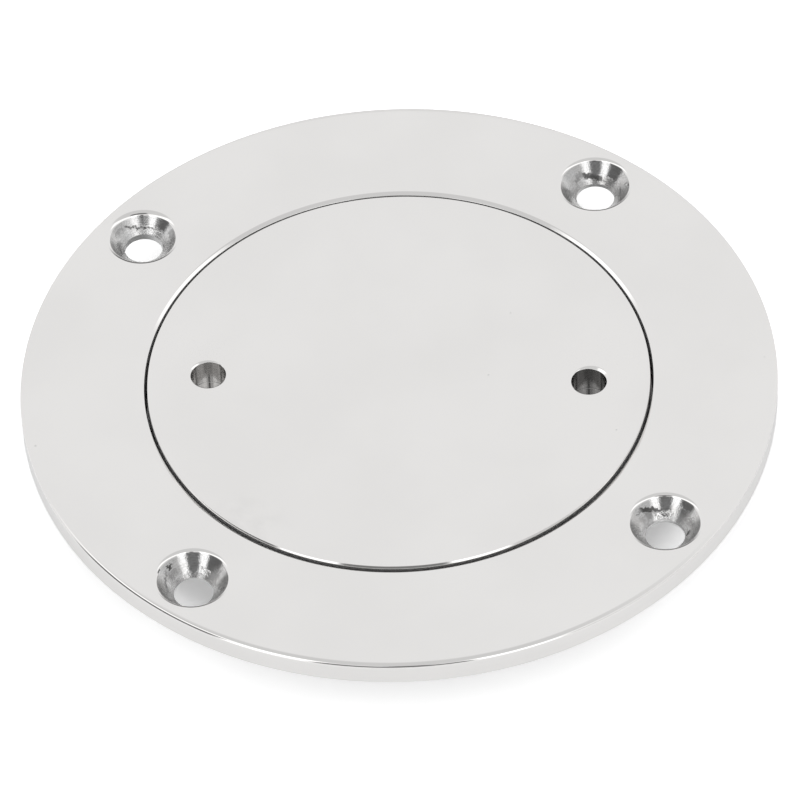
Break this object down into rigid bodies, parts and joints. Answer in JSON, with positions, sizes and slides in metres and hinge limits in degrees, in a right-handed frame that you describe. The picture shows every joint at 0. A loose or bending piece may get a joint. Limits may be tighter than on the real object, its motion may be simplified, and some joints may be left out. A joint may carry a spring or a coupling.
{
  "type": "deck inspection plate",
  "caption": "Round flush deck inspection plate: countersunk flange and threaded neck, closed by a screw-down cover with blind spanner holes over a rubber seal.",
  "frame": {"origin": "centre of the flange's underside, on the axis of the neck, in the plane of the deck", "axes": "+Z out of the deck through the cover; the four screw holes lie at 45 degrees to X and Y"},
  "size_m": [0.127, 0.127, 0.0165],
  "materials": {
    "polished_stainless": "mirror-polished stainless steel",
    "seal_rubber": "matt black rubber"
  },
  "bodies": {
    "ring": {"deck_ring": "polished_stainless"},
    "seal": {"o_ring": "seal_rubber"},
    "cover": {"cover": "polished_stainless"}
  },
  "joints": [
    {"name": "cover_lift", "type": "slide", "parent": "ring", "child": "seal", "axis": [0, 0, 1], "range_m": [0, 0.0148]},
    {"name": "cover_turn", "type": "hinge", "parent": "seal", "child": "cover", "pos_m": [0, 0, 0], "axis": [0, 0, 1], "range_deg": [0, 2664]}
  ],
  "couplings": [
    {"joint": "cover_lift", "follows": "cover_turn", "m_per_rad": 0.00031831}
  ]
}
